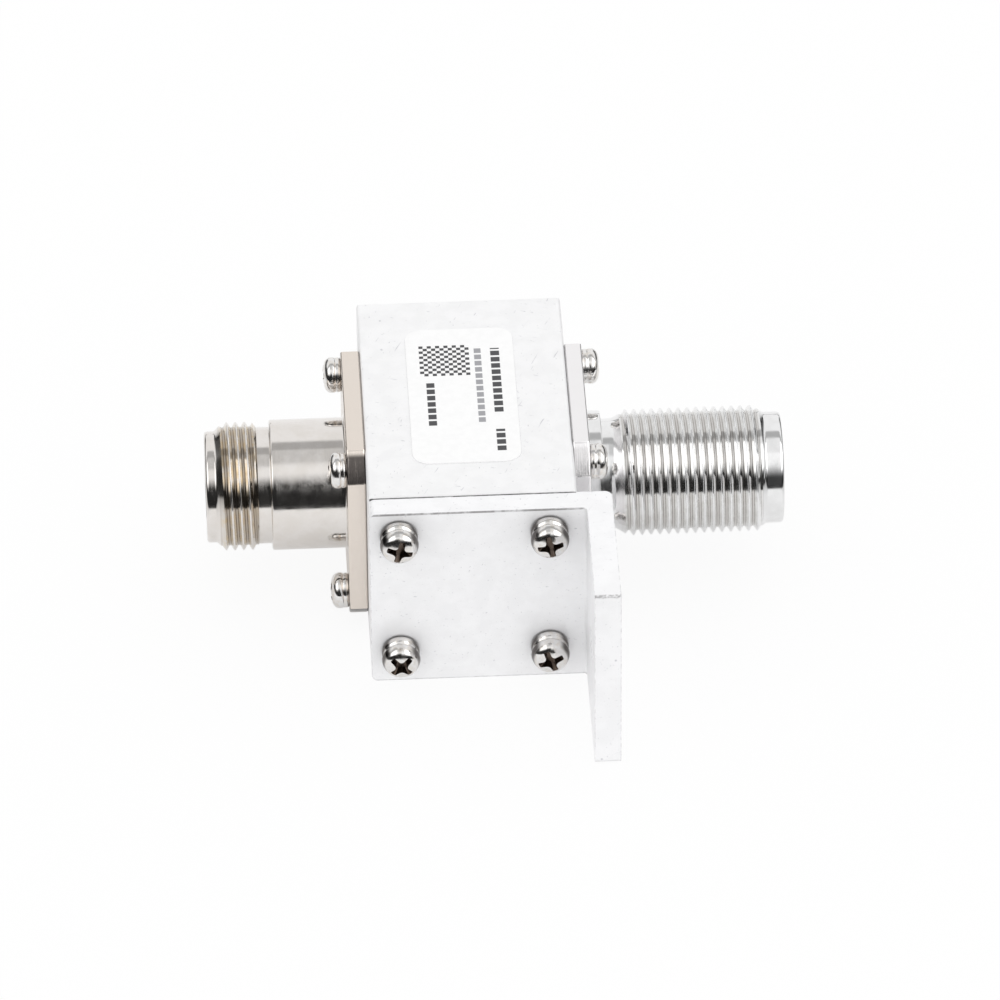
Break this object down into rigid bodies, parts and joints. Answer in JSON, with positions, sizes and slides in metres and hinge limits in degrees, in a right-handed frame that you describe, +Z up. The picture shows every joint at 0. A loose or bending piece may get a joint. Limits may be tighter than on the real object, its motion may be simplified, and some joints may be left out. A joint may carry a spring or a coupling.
{
  "type": "coax lightning arrestor",
  "caption": "Aluminium block with a threaded coax jack on each end, a gas surge tube inside, and an angle bracket screwed to its side.",
  "frame": {"origin": "middle of the block's bottom face, on which it rests", "axes": "+X along the coax line towards the long-threaded jack, +Z up through the labelled face, bracket on the -Y side"},
  "size_m": [0.0708, 0.0587, 0.0259],
  "materials": {
    "block": "bare machined, matte with fine scratches",
    "bracket": "bare extruded, matte",
    "label": "printed film",
    "fasteners": "polished stainless",
    "left_plating": "bright nickel plate, warm",
    "right_plating": "bright silver-grey plate",
    "insulation": "waxy white",
    "contact_plating": "gold flash",
    "line_metal": "bare turned",
    "capacitor_ceramic": "silvered faces",
    "seal_rubber": "matte",
    "tube_ceramic": "unglazed",
    "electrode_metal": "satin",
    "spring_steel": "satin"
  },
  "bodies": {
    "root": {"housing_block": "block", "label": "label", "mounting_bracket": "bracket", "bracket_screws": "fasteners", "bracket_washers": "fasteners", "left_jack_shell": "left_plating", "left_flange_screws": "fasteners", "left_flange_washers": "fasteners", "right_jack_shell": "right_plating", "right_flange_screws": "fasteners", "right_flange_washers": "fasteners", "left_insulator": "insulation", "right_insulator": "insulation", "left_contact": "contact_plating", "right_contact": "contact_plating", "left_line_rod": "line_metal", "right_line_rod": "line_metal", "blocking_capacitor": "capacitor_ceramic", "left_seal": "seal_rubber", "right_seal": "seal_rubber", "surge_tube_shell": "tube_ceramic", "surge_tube_line_electrode": "electrode_metal", "surge_tube_ground_electrode": "electrode_metal", "contact_springs": "spring_steel", "surge_plug": "line_metal"}
  },
  "joints": []
}
